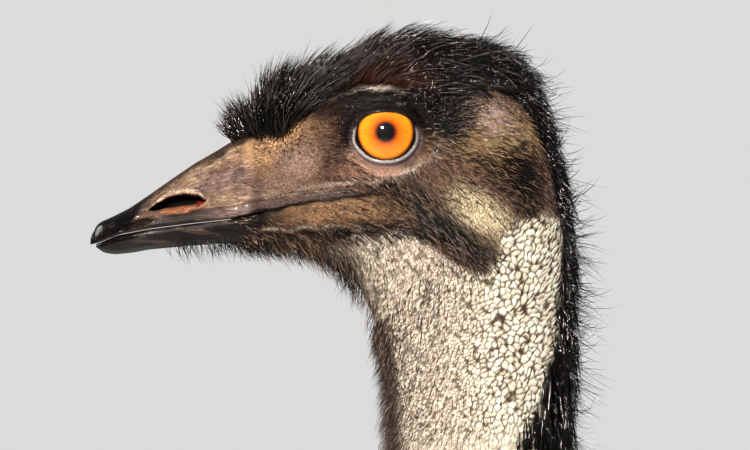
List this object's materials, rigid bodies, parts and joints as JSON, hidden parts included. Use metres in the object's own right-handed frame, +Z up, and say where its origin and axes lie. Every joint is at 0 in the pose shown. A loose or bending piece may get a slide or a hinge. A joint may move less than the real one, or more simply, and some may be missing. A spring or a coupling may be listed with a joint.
{
  "type": "emu",
  "caption": "Life-size standing emu, neck upright and head level, with shaggy drooping plumage, bristly crown and nape, broad bill and scaly bare legs.",
  "frame": {"origin": "on the floor, under the middle of the bird's overall box", "axes": "+Z up, the bird faces -X and its left side is -Y"},
  "size_m": [0.999, 0.4484, 1.6884],
  "materials": {
    "face_skin": "grey-brown bare skin with fine dark bristles",
    "horn": "satin horn, glossy black at the tip and scuffed brown along the sides",
    "eye": "wet gloss, orange iris round a black pupil",
    "neck_skin": "pale pebbly skin with sparse dark hair-like feathers",
    "neck_plumage": "dark hair-like feathers",
    "plumage": "shaggy grey-brown feathers with dark tips",
    "leg_skin": "dark scaly skin with raised scutes",
    "claw": "dark satin horn"
  },
  "bodies": {
    "root": {"head": "face_skin", "bill_upper": "horn", "bill_lower": "horn", "eye_left": "eye", "eye_right": "eye", "neck_upper": "neck_skin", "neck_middle": "neck_skin", "neck_lower": "neck_plumage", "torso": "plumage", "tail": "plumage", "wing_left": "plumage", "wing_right": "plumage", "thigh_left": "plumage", "thigh_right": "plumage", "shank_left": "leg_skin", "shank_right": "leg_skin", "tarsus_left": "leg_skin", "tarsus_right": "leg_skin", "toe_inner_left": "leg_skin", "toe_middle_left": "leg_skin", "toe_outer_left": "leg_skin", "toe_inner_right": "leg_skin", "toe_middle_right": "leg_skin", "toe_outer_right": "leg_skin", "claw_inner_left": "claw", "claw_middle_left": "claw", "claw_outer_left": "claw", "claw_inner_right": "claw", "claw_middle_right": "claw", "claw_outer_right": "claw"}
  },
  "joints": []
}
